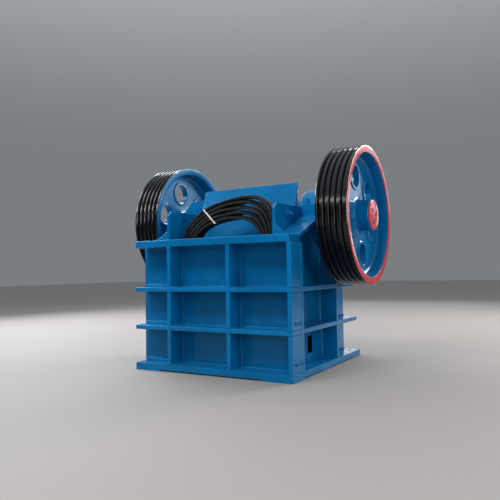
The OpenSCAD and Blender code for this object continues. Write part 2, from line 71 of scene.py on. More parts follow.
# Floor and lights
# A plain pale floor in a soft sky that is light behind the machine and dim in front of it, as in a hall.
# Area lamps stand for the hall's windows and roof lights; two of them leave no reflection in the paint.
bpy.ops.mesh.primitive_plane_add(size=60, location=(0, 0, 0))
floor = bpy.context.object
floor.name = "floor"
pale = bpy.data.materials.new("pale_floor")
pale.use_nodes = True
pale.node_tree.nodes["Principled BSDF"].inputs["Base Color"].default_value = (0.23, 0.215, 0.205, 1)
pale.node_tree.nodes["Principled BSDF"].inputs["Roughness"].default_value = 0.8
floor.data.materials.append(pale)
bpy.context.scene.view_settings.view_transform = "Standard"
world = bpy.data.worlds.new("sky")
bpy.context.scene.world = world
world.use_nodes = True
sky = world.node_tree
way = sky.nodes.new("ShaderNodeTexCoord")
part = sky.nodes.new("ShaderNodeSeparateXYZ")
sky.links.new(way.outputs["Generated"], part.inputs[0])
brightness = None
for axis_name, low, high, strength in (("Y", -0.3, 0.6, 0.12), ("Z", 0.2, 0.9, 0.62)):
    glow = sky.nodes.new("ShaderNodeMapRange")
    glow.interpolation_type = "SMOOTHSTEP"
    sky.links.new(part.outputs[axis_name], glow.inputs["Value"])
    for key, value in (("From Min", low), ("From Max", high), ("To Max", strength)):
        glow.inputs[key].default_value = value
    total = sky.nodes.new("ShaderNodeMath")
    sky.links.new(glow.outputs["Result"], total.inputs[0])
    total.inputs[1].default_value = 0.1
    if brightness:
        sky.links.new(brightness, total.inputs[1])
    brightness = total.outputs[0]
sky.links.new(brightness, sky.nodes["Background"].inputs["Strength"])
sky.nodes["Background"].inputs["Color"].default_value = (0.88, 0.94, 1.0, 1)


def lamp(name, place, aim, wide, tall, power, tint=(1, 1, 1), gloss=True):
    light = bpy.data.lights.new(name, "AREA")
    light.shape = "RECTANGLE"
    light.size, light.size_y, light.energy, light.color = wide, tall, power, tint
    holder = bpy.data.objects.new(name, light)
    holder.location = place
    holder.rotation_euler = (Vector(aim) - Vector(place)).to_track_quat("-Z", "Y").to_euler()
    holder.visible_glossy = gloss
    holder.visible_camera = False
    bpy.context.scene.collection.objects.link(holder)


lamp("left_window", (-6.0, 1.5, 3.4), (0, 0, 0.9), 4, 2.4, 440, (0.96, 0.98, 1))
lamp("right_window", (3.6, 5.6, 4.0), (0.4, 0, 0.9), 2.2, 1.8, 380, (1, 0.98, 0.95))
lamp("roof_lamp", (-0.6, -3.9, 5.2), (0, 0, 0.8), 2.4, 1.6, 225, gloss=False)
lamp("front", (2.2, -5.5, 1.9), (0.2, 0, 0.7), 3, 2, 60, gloss=False)
lamp("side", (5.2, -1.9, 1.7), (0.5, 0, 0.7), 1.2, 2.6, 78, (0.9, 0.95, 1))
lamp("rear_left_window", (-4.5, 4.6, 5.4), (0, -0.4, 0.8), 3, 1.6, 150, (0.93, 0.97, 1))
lamp("back_window", (-1.5, 9, 2.1), (0, 0, 0.9), 7, 1.2, 70, (0.95, 0.98, 1))
lamp("small_window", (-4.1, -3.3, 3.7), (-0.9, 0, 1.2), 0.6, 0.8, 26)
lamp("front_window", (-0.95, -4.6, 3.15), (0.9, 0, 1.2), 0.4, 0.6, 8)
lamp("upper_window", (-4.3, -2.0, 5.0), (-0.4, -0.5, 0.7), 2.2, 1.2, 45)
lamp("rear_panel", (3.0, 5.7, 2.55), (0.9, 0.1, 1.3), 1.0, 1.5, 9)


# Base flange
# A 45 mm thick steel flange all round the foot, on pads, drilled for the foundation bolts.
# Cut from plate, welded to the walls, its edges ground round, and painted glossy blue with the frame.
class Wire:
    """A number or colour on its way through a finish; sums and products add Math nodes."""

    def __init__(self, coat, socket):
        self.coat, self.socket = coat, socket

    def math(self, kind, other, swap=False):
        pair = [other, self] if swap else [self, other]
        return self.coat.node("Math", {"operation": kind}, dict(enumerate(pair)))

    def __add__(self, other):
        return self.math("ADD", other)

    def __sub__(self, other):
        return self.math("SUBTRACT", other)

    def __rsub__(self, other):
        return self.math("SUBTRACT", other, True)

    def __mul__(self, other):
        return self.math("MULTIPLY", other)

    def __gt__(self, other):
        return self.math("GREATER_THAN", other)

    __radd__ = __add__
    __rmul__ = __mul__

    def clear(self):
        wire = self.math("ADD", 0.0)
        wire.socket.node.use_clamp = True
        return wire


class Finish:
    """One paint or metal on a Principled shader, in object coordinates."""

    def __init__(self, name):
        self.material = bpy.data.materials.new(name)
        self.material.use_nodes = True
        self.tree = self.material.node_tree
        self.shader = self.tree.nodes["Principled BSDF"]
        self.place = self.node("TexCoord", {}, {}, "Object")

    def node(self, kind, settings, sockets, out=0):
        made = self.tree.nodes.new("ShaderNode" + kind)
        for key, value in settings.items():
            setattr(made, key, value)
        for key, value in sockets.items():
            if isinstance(value, Wire):
                self.tree.links.new(value.socket, made.inputs[key])
            elif isinstance(value, tuple) and made.inputs[key].type == "RGBA":
                made.inputs[key].default_value = (*value, 1)
            else:
                made.inputs[key].default_value = value
        return Wire(self, made.outputs[out])

    def noise(self, scale, detail=4.0, rough=0.55, stretch=(1, 1, 1)):
        at = self.node("Mapping", {}, {"Vector": self.place, "Scale": stretch})
        return self.node("TexNoise", {}, {"Vector": at, "Scale": scale, "Detail": detail, "Roughness": rough})

    def step(self, wire, low, high):
        return self.node("MapRange", {"interpolation_type": "SMOOTHSTEP"},
                         {"Value": wire, "From Min": low, "From Max": high})

    def mix(self, share, a, b):
        return self.node("Mix", {"data_type": "RGBA"}, {0: share, 6: a, 7: b}, 2)

    def upward(self):
        facing = self.node("TexCoord", {}, {}, "Normal")
        return self.node("SeparateXYZ", {}, {"Vector": facing}, "Z").clear()

    def edge(self, width=0.006):
        """1 along outer edges, 0 on flat faces."""
        flat = self.node("NewGeometry", {}, {}, "Normal")
        soft = self.node("Bevel", {"samples": 4}, {"Radius": width})
        same = self.node("VectorMath", {"operation": "DOT_PRODUCT"}, {0: flat, 1: soft}, "Value")
        return self.step(1 - same, 0.02, 0.22)

    def bumps(self, *layers):
        normal = None
        for height, depth in layers:
            sockets = {"Height": height, "Distance": depth, "Strength": 1.0}
            if normal:
                sockets["Normal"] = normal
            normal = self.node("Bump", {}, sockets)
        return normal

    def done(self, **values):
        for key, value in values.items():
            socket = self.shader.inputs[key.replace("_", " ")]
            if isinstance(value, Wire):
                self.tree.links.new(value.socket, socket)
            else:
                socket.default_value = (*value, 1) if isinstance(value, tuple) else value
        return self.material


def machine_paint(name, deep, light, dust=0.03, gloss=0.5, tint=(1, 1, 1)):
    """Thick glossy enamel over plate: uneven film, a little dust on what faces up, scuffed edges, and edges
    painted lighter, partly wear and partly a painted highlight.
    """
    coat = Finish(name)
    cloudy = coat.step(coat.noise(2.3), 0.35, 0.65)
    colour = coat.mix(cloudy, deep, light)
    streak = coat.step(coat.noise(9, 3, 0.6, (1, 1, 0.12)), 0.55, 0.8)
    colour = coat.mix(streak * 0.25, colour, tuple(c * 0.6 for c in deep))
    grime = coat.step(coat.noise(14, 6, 0.7), 0.42, 0.7)
    film = (coat.upward() * dust * (grime * 0.7 + 0.3)).clear()
    colour = coat.mix(film, colour, (0.24, 0.3, 0.34))
    # Edges turn a lighter blue: partly wear, partly a painted highlight along the edges.
    worn_and_glint = coat.edge() * coat.step(coat.noise(38, 5, 0.7), 0.52, 0.62)
    colour = coat.mix(worn_and_glint * 0.55, colour, tuple(0.9 * c + 0.07 for c in light))
    chips = coat.edge(0.004) * (coat.noise(90, 3, 0.6) > 0.66)
    colour = coat.mix(chips * 0.6, colour, (0.04, 0.035, 0.03))
    rough = 0.1 + coat.noise(9, 4, 0.6) * 0.16 + film * 0.6 + worn_and_glint * 0.12
    normal = coat.bumps((coat.noise(6, 2, 0.5), 0.004), (coat.noise(34, 2, 0.5), 0.0003))
    return coat.done(Base_Color=colour, Roughness=rough, Normal=normal,
                     Specular_IOR_Level=gloss, Specular_Tint=tint)


blue_paint = machine_paint("blue_paint", (0.0006, 0.104, 0.265), (0.001, 0.134, 0.335),
                           tint=(0.3, 0.72, 0.95))


def taken_from(node):
    """A copy of a solid of the frame, its loose triangles merged into whole faces."""
    bpy.ops.object.select_all(action="DESELECT")
    source = nodes[node]
    source.select_set(True)
    bpy.context.view_layer.objects.active = source
    bpy.ops.object.duplicate()
    piece = bpy.context.object
    piece.parent = None
    for key in list(piece.keys()):
        del piece[key]
    piece.hide_render = piece.hide_viewport = False
    bpy.ops.object.mode_set(mode="EDIT")
    bpy.ops.mesh.select_all(action="SELECT")
    bpy.ops.mesh.remove_doubles(threshold=0.00002)
    bpy.ops.mesh.dissolve_limited(angle_limit=math.radians(0.3))
    bpy.ops.object.mode_set(mode="OBJECT")
    return piece


def rounded(piece, radius, segments=2, angle=35):
    """Rounds the sharp edges of a piece and smooths its shading up to them."""
    bpy.ops.object.select_all(action="DESELECT")
    piece.select_set(True)
    bpy.context.view_layer.objects.active = piece
    bpy.ops.object.modifier_add(type="BEVEL")
    soft = piece.modifiers[-1]
    soft.width, soft.segments, soft.limit_method = radius, segments, "ANGLE"
    soft.angle_limit, soft.use_clamp_overlap = math.radians(angle), True
    bpy.ops.object.modifier_apply(modifier=soft.name)
    bpy.ops.object.shade_smooth_by_angle(angle=math.radians(50))
    bpy.ops.object.modifier_add(type="WEIGHTED_NORMAL")
    flat = piece.modifiers[-1]
    flat.weight, flat.keep_sharp = 80, True
    bpy.ops.object.modifier_apply(modifier=flat.name)
    return piece


def fitted(piece, name, body, slot, finish, *replaced):
    """Names a finished piece, gives it its paint or metal, and fixes it to the body it moves with."""
    piece.name = name
    piece.data.materials.clear()
    piece.data.materials.append(finish)
    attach(piece, body)
    if replaced:
        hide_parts(*replaced)
    return piece


def joined(pieces):
    bpy.ops.object.select_all(action="DESELECT")
    for piece in pieces:
        piece.select_set(True)
    bpy.context.view_layer.objects.active = pieces[0]
    if len(pieces) > 1:
        bpy.ops.object.join()
    bpy.ops.object.transform_apply(location=True, rotation=True, scale=True)
    return bpy.context.object


fitted(rounded(taken_from("base_flange"), 0.004), "base_flange_plates", "frame", "blue", blue_paint,
       "base_flange")

# Walls
# Front wall, two thick side walls with the bearing seats, and the rear wall with the toggle's shelf.
# All are flame-cut plate with ground edges, welded into one box.
for node, name in (("front_wall", "front_wall_plate"), ("left_side_wall", "left_side_plate"),
                   ("right_side_wall", "right_side_plate"), ("rear_wall", "rear_wall_plate")):
    fitted(rounded(taken_from(node), 0.0018), name, "frame", "blue", blue_paint, node)

# The flame-cut faces of the hand openings are shown bare, in a near-black that is painted shade for the dark
# inside of the openings.
shade_black_cut = machine_paint("shade_black_cut", (0.004, 0.005, 0.007), (0.008, 0.009, 0.012), 0.01, gloss=0.2)
opening_y, opening_z = (-0.145, -0.05), (0.12, 0.262)
for name in ("left_side_plate", "right_side_plate"):
    plate = bpy.data.objects[name]
    plate.data.materials.append(shade_black_cut)
    for face in plate.data.polygons:
        spot = face.center
        in_opening = opening_y[0] < spot.y < opening_y[1] and opening_z[0] < spot.z < opening_z[1]
        if in_opening and abs(face.normal.x) < 0.3 and abs(spot.x) > 0.5:
            face.material_index = 1

# Bands, ribs and top flange
# Flat bars set on edge round the box that stiffen its walls, and the heavy flange over the front wall.
# Sheared from plate and welded on, so their outer edges are a little rounded under the paint.
for node, name, soft in (("lower_band", "lower_rib_band", 0.005),
                         ("upper_band", "upper_rib_band", 0.005),
                         ("top_flange", "front_top_flange", 0.007),
                         ("front_ribs", "front_upright_ribs", 0.005),
                         ("left_side_rib", "left_upright_rib", 0.005),
                         ("right_side_rib", "right_upright_rib", 0.005),
                         ("rear_ribs", "rear_rib_grid", 0.004),
                         ("left_slope_flange", "left_sloping_flanges", 0.005),
                         ("right_slope_flange", "right_sloping_flanges", 0.005)):
    fitted(rounded(taken_from(node), soft), name, "frame", "blue", blue_paint, node)

# Welds
# Arc-welded fillets along every joint of bars and walls, laid in ripples and painted over.
# The runs on top of the bands in the left column are the heaviest.
wall_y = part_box("front_wall")[0].y
wall_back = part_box("front_wall")[1].y
rib_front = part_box("front_ribs")[0].y
base_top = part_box("front_wall")[0].z
lower = [v.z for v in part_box("lower_band")]
upper = [v.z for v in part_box("upper_band")]
flange_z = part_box("top_flange")[0].z
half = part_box("lower_band")[1].x
doubler_t = 0.012
side_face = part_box("right_side_wall")[1].x - doubler_t
side_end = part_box("right_side_wall")[1].y


def weld(start, end, leg=0.012):
    """One run of rippled weld metal from start to end, its root on the line between them."""
    start, end = Vector(start), Vector(end)
    way = end - start
    count = max(1, round(way.length / (leg * 1.15)))
    long = way.length / count
    bpy.ops.object.select_all(action="DESELECT")
    bpy.ops.mesh.primitive_cone_add(vertices=8, radius1=leg, radius2=leg * 0.8, depth=long * 1.06,
                                    end_fill_type="NGON", location=start + way.normalized() * long / 2,
                                    rotation=way.to_track_quat("Z", "Y").to_euler())
    run = bpy.context.object
    bpy.ops.object.modifier_add(type="ARRAY")
    row = run.modifiers[-1]
    row.count, row.use_relative_offset, row.use_constant_offset = count, False, True
    row.constant_offset_displace = (0, 0, long)
    bpy.ops.object.modifier_apply(modifier=row.name)
    return run


def welds(name, body, runs, finish):
    bead = joined([weld(*run) for run in runs])
    bpy.ops.object.shade_smooth_by_angle(angle=math.radians(50))
    return fitted(bead, name, body, "blue", finish)


half_rib = 0.017
rib_x = [-0.364, 0.184, half - half_rib]
rib_edge = rib_front + 0.01
columns = [(-half, rib_x[0] - half_rib), (rib_x[0] + half_rib, rib_x[1] - half_rib),
           (rib_x[1] + half_rib, rib_x[2] - half_rib)]
rows = [(base_top, lower[0]), (lower[1], upper[0]), (upper[1], flange_z)]
left_leg, other_leg, upright_leg = 0.034, 0.014, 0.015
front_runs = []
for c, (x0, x1) in enumerate(columns):
    floor_leg = left_leg if c == 0 else other_leg
    for z0, z1 in rows:
        front_runs += [((x0, wall_y, z0), (x1, wall_y, z0), floor_leg), ((x0, wall_y, z1), (x1, wall_y, z1))]
        for x in (x1, x0) if c else (x1,):
            front_runs += [((x, wall_y, z0), (x, wall_y, z1), upright_leg),
                           ((x, wall_y, z0), (x, rib_edge, z0)), ((x, wall_y, z1), (x, rib_edge, z1))]
welds("front_welds", "frame", front_runs, blue_paint)

rib_y = [v.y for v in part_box("right_side_rib")]
bays = [(wall_back, rib_y[0]), (rib_y[1], side_end)]
doubler_y, doubler_x = -0.147, side_face + doubler_t
slope_top = 0.96
for side, name in ((1, "right_side_welds"), (-1, "left_side_welds")):
    out = side * (half - 0.012)
    runs = [((side * side_face, doubler_y, base_top), (side * side_face, doubler_y, lower[0]), 0.009)]
    for b, (y0, y1) in enumerate(bays):
        for r, (z0, z1) in enumerate(rows):
            spans = [(y0, y1, side_face)]
            if b == r == 0:
                spans = [(y0, doubler_y, side_face), (doubler_y, y1, doubler_x)]
            for ya, yb, x in spans:
                if r < 2:
                    runs += [((side * x, ya, z0), (side * x, yb, z0)),
                             ((side * x, ya, z1), (side * x, yb, z1))]
                else:
                    runs += [((side * x, ya, z0), (side * x, min(yb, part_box("upper_band")[1].y), z0))]
            top = z1 if r < 2 else slope_top
            edge_y = y1 if b == 0 else y0
            x = side * spans[-1][2]
            runs += [((x, edge_y, z0), (x, edge_y, top)), ((x, edge_y, z0), (out, edge_y, z0))]
            if r < 2:
                runs += [((x, edge_y, z1), (out, edge_y, z1))]
            if b == 0:
                runs += [((side * side_face, y0, z0), (side * side_face, y0, top)),
                         ((side * side_face, y0, z0), (out, y0, z0))]
    welds(name, "frame", runs, blue_paint)

# Feed mouth
# Two cheek plates with gussets and a bolt boss stand on the flange at the sides of the mouth.
# Inside them hang the side liners, and the fixed jaw is held down by a clamp bar.
for node, name in (("left_cheek", "left_cheek_plate"), ("right_cheek", "right_cheek_plate"),
                   ("jaw_clamp_bar", "fixed_jaw_clamp_bar")):
    fitted(rounded(taken_from(node), 0.003), name, "frame", "blue", blue_paint, node)

# Short heavy beads on the outer face of the corner rib, over the base and over the lower band.
corner_runs = [((half, -0.655, z), (half, -0.535, z), 0.0105) for z in (base_top + 0.068, lower[1] + 0.047)]
welds("corner_beads", "frame", corner_runs, blue_paint)


def wear_steel(name):
    """Cast wear steel: dark scale with rust film, rubbed bright on the crests."""
    coat = Finish(name)
    scale = coat.step(coat.noise(6, 6, 0.65), 0.35, 0.7)
    colour = coat.mix(scale, (0.045, 0.04, 0.038), (0.12, 0.085, 0.06))
    bright = coat.edge(0.008) * coat.step(coat.noise(30, 4, 0.6), 0.3, 0.6)
    colour = coat.mix(bright * 0.8, colour, (0.3, 0.29, 0.28))
    rough = 0.62 - bright * 0.25 + coat.noise(40) * 0.15
    normal = coat.bumps((coat.noise(60, 5, 0.65), 0.0015))
    return coat.done(Base_Color=colour, Roughness=rough, Metallic=0.6, Normal=normal)


jaw_metal = wear_steel("jaw_metal")
fitted(rounded(taken_from("fixed_jaw_plate"), 0.005), "fixed_jaw_casting", "frame", "jaw_steel",
       jaw_metal, "fixed_jaw_plate")
for node, name in (("left_liner", "left_liner_plate"), ("right_liner", "right_liner_plate")):
    fitted(rounded(taken_from(node), 0.004), name, "frame", "jaw_steel", jaw_metal, node)

# Bearings
# Cast housings split at the shaft's height, sitting in round cut-outs of the side walls, with ring covers.
# The caps are held by long studs with hexagon nuts; the covers by small bolts all round.
for node, name, soft in (("left_bearing_housing", "left_housing_casting", 0.006),
                         ("right_bearing_housing", "right_housing_casting", 0.006),
                         ("left_bearing_cap", "left_cap_casting", 0.008),
                         ("right_bearing_cap", "right_cap_casting", 0.008),
                         ("left_bearing_covers", "left_cover_rings", 0.003),
                         ("right_bearing_covers", "right_cover_rings", 0.003)):
    fitted(rounded(taken_from(node), soft), name, "frame", "blue", blue_paint, node)


def bolt_end(size, stud=0.0, head=0.65):
    """A hexagon nut or bolt head on its washer at the origin, standing along +Z.

    stud is the length of thread that shows above it."""
    bpy.ops.object.select_all(action="DESELECT")
    bpy.ops.mesh.primitive_cylinder_add(vertices=20, radius=size * 1.05, depth=size * 0.16,
                                        location=(0, 0, size * 0.08))
    washer = bpy.context.object
    bpy.ops.mesh.primitive_cylinder_add(vertices=6, radius=size * 0.92, depth=size * head,
                                        location=(0, 0, size * (0.16 + head / 2)))
    nut = bpy.context.object
    bpy.ops.object.mode_set(mode="EDIT")
    bpy.ops.mesh.select_all(action="DESELECT")
    bpy.ops.object.mode_set(mode="OBJECT")
    for face in nut.data.polygons:
        face.select = face.normal.z > 0.9
    bpy.ops.object.mode_set(mode="EDIT")
    bpy.ops.mesh.select_mode(type="FACE")
    bpy.ops.mesh.inset(thickness=size * 0.12, depth=size * 0.07)
    bpy.ops.object.mode_set(mode="OBJECT")
    parts = [washer, nut]
    if stud:
        bpy.ops.mesh.primitive_cylinder_add(vertices=16, radius=size * 0.5, depth=stud,
                                            location=(0, 0, size * (0.16 + head) + stud / 2))
        thread = bpy.context.object
        bpy.ops.object.mode_set(mode="EDIT")
        bpy.ops.mesh.bevel(offset=size * 0.06, segments=1, affect="EDGES")
        bpy.ops.object.mode_set(mode="OBJECT")
        parts.append(thread)
    return joined(parts)


def bolts(name, body, slot, finish, size, places, stud=0.0, head=0.65):
    """Sets copies of one nut at places, each a point and the direction it stands in, and joins them."""
    first = bolt_end(size, stud, head)
    row = []
    for point, up in places:
        bpy.ops.object.select_all(action="DESELECT")
        first.select_set(True)
        bpy.context.view_layer.objects.active = first
        bpy.ops.object.duplicate()
        copy = bpy.context.object
        turn = Vector(up).to_track_quat("Z", "Y").to_matrix().to_4x4()
        copy.matrix_world = Matrix.Translation(point) @ turn
        row.append(copy)
    bpy.data.objects.remove(first)
    piece = joined(row)
    bpy.ops.object.shade_smooth_by_angle(angle=math.radians(30))
    return fitted(piece, name, body, slot, finish)


def steel(name, dark, light, rough_low, grain=(1, 1, 1), metallic=0.9):
    """Turned or rolled steel with oil film and fine grain."""
    coat = Finish(name)
    film = coat.step(coat.noise(12, 5, 0.6), 0.35, 0.68)
    colour = coat.mix(film, dark, light)
    rough = rough_low + coat.noise(50, 4, 0.6, grain) * 0.25
    normal = coat.bumps((coat.noise(180, 3, 0.6, grain), 0.0004))
    return coat.done(Base_Color=colour, Roughness=rough, Metallic=metallic, Normal=normal)


bolt_steel = steel("bolt_steel", (0.03, 0.032, 0.036), (0.09, 0.085, 0.08), 0.3)
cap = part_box("right_bearing_cap")
split_top = 1.316
stud_y = [cap[0].y + 0.041, cap[1].y - 0.041]
stud_x = [0.532, 0.65]
tops = [((side * x, y, split_top), (0, 0, 1)) for side in (-1, 1) for x in stud_x for y in stud_y]
bolts("cap_stud_nuts", "frame", "blue", blue_paint, 0.036, tops, stud=0.018)
centre = Vector((0, (cap[0].y + cap[1].y) / 2, cap[0].z))
cover_x, cover_bolt_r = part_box("right_bearing_covers")[1].x, 0.138
cover_places = []
for side in (-1, 1):
    for k in range(8):
        a = math.radians(22.5 + 45 * k)
        y, z = centre.y + cover_bolt_r * math.cos(a), centre.z + cover_bolt_r * math.sin(a)
        cover_places += [((side * cover_x, y, z), (side, 0, 0))]
bolts("cover_bolts", "frame", "dark_steel", bolt_steel, 0.012, cover_places, head=0.6)

cheek_y, cheek_z, cheek_x = -0.333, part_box("right_cheek")[1].z - 0.075, 0.525
bolts("liner_bolts", "frame", "blue", blue_paint, 0.021,
      [((side * cheek_x, cheek_y, cheek_z), (side, 0, 0)) for side in (-1, 1)], stud=0.012)
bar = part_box("jaw_clamp_bar")
bolts("clamp_bar_bolts", "frame", "dark_steel", bolt_steel, 0.012,
      [((x, bar[1].y, bar[0].z + 0.02), (0, 1, 0)) for x in (-0.4, -0.2, 0, 0.2, 0.4)], head=0.6)

# Eccentric shaft
# A forged shaft, turned and ground, whose middle part is off centre and drives the swing jaw.
# Its journals are bare steel with an oil film between bearing and hub.
shaft_steel = steel("shaft_steel", (0.32, 0.31, 0.3), (0.5, 0.49, 0.48), 0.18, (0.2, 4, 4))
fitted(rounded(taken_from("eccentric_shaft"), 0.003), "eccentric_shaft_forging", "shaft", "machined",
       shaft_steel, "eccentric_shaft")

# Flywheels
# Two grey iron castings with five turned belt grooves each; the web has six holes with raised rings.
# Grooves and rim are glossy black, the web blue, and the ring on the outer face red.
black_paint = machine_paint("black_paint", (0.003, 0.003, 0.004), (0.006, 0.006, 0.007), 0.02, gloss=0.5)
red_paint = machine_paint("red_paint", (0.46, 0.02, 0.03), (0.6, 0.05, 0.065), 0.06)


def drawn(points):
    """Draws a closed line of edges through points, one after the other; leaves it selected in edit mode."""
    bpy.ops.object.select_all(action="DESELECT")
    bpy.ops.mesh.primitive_plane_add(size=0.001, location=points[0])
    line = bpy.context.object
    bpy.ops.object.mode_set(mode="EDIT")
    bpy.ops.mesh.select_mode(type="VERT")
    bpy.ops.mesh.select_all(action="SELECT")
    bpy.ops.mesh.merge(type="CENTER")
    for a, b in zip(points, points[1:] + points[:1]):
        bpy.ops.mesh.extrude_region_move(TRANSFORM_OT_translate={"value": Vector(b) - Vector(a)})
    bpy.ops.mesh.select_all(action="SELECT")
    bpy.ops.mesh.remove_doubles(threshold=0.00002)
    bpy.ops.mesh.select_all(action="SELECT")
    return line


def turned(profile, at, steps=144):
    """Spins a closed profile of (radius, x) points about an axis along X through at, as on a lathe."""
    piece = drawn([(x, at[0], at[1] + radius) for radius, x in profile])
    bpy.ops.mesh.spin(steps=steps, angle=2 * math.pi, center=(0, at[0], at[1]), axis=(1, 0, 0))
    bpy.ops.mesh.select_all(action="SELECT")
    bpy.ops.mesh.remove_doubles(threshold=0.00002)
    bpy.ops.mesh.normals_make_consistent(inside=False)
    bpy.ops.object.mode_set(mode="OBJECT")
    bpy.ops.object.transform_apply(location=True, rotation=True, scale=True)
    bpy.ops.object.shade_smooth_by_angle(angle=math.radians(28))
    return piece


axis = (centre.y, centre.z)
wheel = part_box("right_wheel_rim")
wheel_r = (wheel[1].z - wheel[0].z) / 2
wheel_x0, wheel_x1 = wheel[0].x, wheel[1].x
rim_in = wheel_r - 0.059
web_r = rim_in - 0.007
land, pitch = 0.012, (wheel_x1 - wheel_x0 - 0.024) / 5
deep = 0.022
top_half = (pitch - 0.010) / 2
foot_half = top_half - deep * math.tan(math.radians(18))
rim_line = [(wheel_r - 0.004, 0), (wheel_r, 0.004)]
for g in range(5):
    mid = land + pitch * (g + 0.5)
    rim_line += [(wheel_r, mid - top_half - 0.0015), (wheel_r - 0.0015, mid - top_half),
                 (wheel_r - deep, mid - foot_half), (wheel_r - deep, mid + foot_half),
                 (wheel_r - 0.0015, mid + top_half), (wheel_r, mid + top_half + 0.0015)]
wide = wheel_x1 - wheel_x0
rim_line += [(wheel_r, wide - 0.004), (wheel_r - 0.004, wide), (rim_in + 0.006, wide),
             (rim_in + 0.002, wide - 0.002), (rim_in, wide - 0.006), (web_r, 0.173), (web_r, 0.077),
             (rim_in, 0.006), (rim_in + 0.002, 0.002), (rim_in + 0.006, 0)]
for side, name in ((1, "right"), (-1, "left")):
    piece = turned([(r, side * (wheel_x0 + x)) for r, x in rim_line], axis, 160)
    fitted(piece, name + "_grooved_rim", "shaft", "black", black_paint, name + "_wheel_rim")
    piece.data.materials.append(red_paint)
    piece.data.materials.append(blue_paint)
    for face in piece.data.polygons:
        spot = face.center
        radius = math.hypot(spot.y - axis[0], spot.z - axis[1])
        across = abs(spot.x) - wheel_x0 - land
        groove_near = any(abs(across - pitch * (g + 0.5)) < top_half + 0.001 for g in range(5))
        in_groove = groove_near and radius > rim_in + 0.02
        if radius < wheel_r - 0.003 and not in_groove:
            face.material_index = 1 if abs(spot.x) > wheel_x1 - 0.003 else 2

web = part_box("right_wheel_web")
web_x0, web_x1 = 0.105, 0.145
hub_r = 0.127
hub_a, hub_b = web[0].x - wheel_x0, web[1].x - wheel_x0


def hollow(r, x, size, sr, sx, count=5):
    """Points of a concave fillet whose corner is at (r, x)."""
    cr, cx = r + sr * size, x + sx * size
    steps = [math.pi / 2 * k / count for k in range(count + 1)]
    return [(cr - sr * size * math.cos(t), cx - sx * size * math.sin(t)) for t in steps]


def bored(piece, radius, depth, place, sides):
    """Cuts a round hole along X into a piece; place is the middle of the hole."""
    bpy.ops.object.select_all(action="DESELECT")
    bpy.ops.mesh.primitive_cylinder_add(vertices=sides, radius=radius, depth=depth, location=place,
                                        rotation=(0, math.pi / 2, 0))
    cutter = bpy.context.object
    bpy.ops.object.select_all(action="DESELECT")
    piece.select_set(True)
    bpy.context.view_layer.objects.active = piece
    bpy.ops.object.modifier_add(type="BOOLEAN")
    cut = piece.modifiers[-1]
    cut.object, cut.operation, cut.solver = cutter, "DIFFERENCE", "EXACT"
    bpy.ops.object.modifier_apply(modifier=cut.name)
    bpy.data.objects.remove(cutter)


bore = 0.0851
web_line = [(bore, hub_a), (hub_r - 0.005, hub_a), (hub_r, hub_a + 0.005)]
web_line += list(hollow(hub_r, web_x0, 0.03, 1, -1))
web_line += list(reversed(hollow(web_r - 0.0003, web_x0, 0.024, -1, -1)))
web_line += list(hollow(web_r - 0.0003, web_x1, 0.024, -1, 1))
web_line += list(reversed(hollow(hub_r, web_x1, 0.03, 1, 1)))
web_line += [(hub_r, hub_b - 0.005), (hub_r - 0.005, hub_b), (bore, hub_b)]
ring_r = (0.494 + hub_r) / 2 + 0.012
hole_r, lip = 0.088, 0.027
for side, name in ((1, "right"), (-1, "left")):
    disc = turned([(r, side * (wheel_x0 + x)) for r, x in web_line], axis, 144)
    parts = [disc]
    for k in range(6):
        a = math.radians(102 + 60 * k)
        y, z = axis[0] + ring_r * math.cos(a), axis[1] + ring_r * math.sin(a)
        bored(disc, hole_r + 0.004, 0.08, (side * (wheel_x0 + 0.125), y, z), 48)
        x0, x1 = side * (wheel_x0 + web_x0 - 0.009), side * (wheel_x0 + web_x1 + 0.009)
        s = side * 0.004
        collar = turned([(hole_r, x0 + s), (hole_r + 0.004, x0), (hole_r + lip - 0.006, x0),
                         (hole_r + lip - 0.001, x0 + s), (hole_r + lip, x0 + 3 * s),
                         (hole_r + lip, x1 - 3 * s), (hole_r + lip - 0.001, x1 - s),
                         (hole_r + lip - 0.006, x1), (hole_r + 0.004, x1), (hole_r, x1 - s)], (y, z), 56)
        parts.append(collar)
    piece = joined(parts)
    bpy.ops.object.shade_smooth_by_angle(angle=math.radians(28))
    fitted(piece, name + "_web_casting", "shaft", "blue", blue_paint, name + "_wheel_web")

# Hub caps
# A turned steel disc closes each hub and is red like the outer ring.
# Its three bolts are sunk in counterbores, so that nothing stands out of the turning face.
cap_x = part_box("right_hub_cap")[1].x
well_floor, well_r, bolt_circle = cap_x - 0.0145, 0.0215, 0.055
bolt_spots = [(axis[0] + bolt_circle * math.cos(math.radians(a)),
               axis[1] + bolt_circle * math.sin(math.radians(a))) for a in (16, 136, 256)]
for side, name in ((1, "right"), (-1, "left")):
    disc = rounded(taken_from(name + "_hub_cap"), 0.003, 3)
    for y, z in bolt_spots:
        bored(disc, well_r, 0.04, (side * (well_floor + 0.02), y, z), 40)
    bpy.ops.mesh.customdata_custom_splitnormals_clear()
    bpy.ops.object.shade_smooth_by_angle(angle=math.radians(35))
    fitted(disc, name + "_hub_disc", "shaft", "red", red_paint, name + "_hub_cap")
hub_heads = [((side * (well_floor - 0.003), y, z), (side, 0, 0)) for side in (-1, 1) for y, z in bolt_spots]
bolts("hub_cap_bolts", "shaft", "dark_steel", bolt_steel, 0.02, hub_heads, head=0.6)

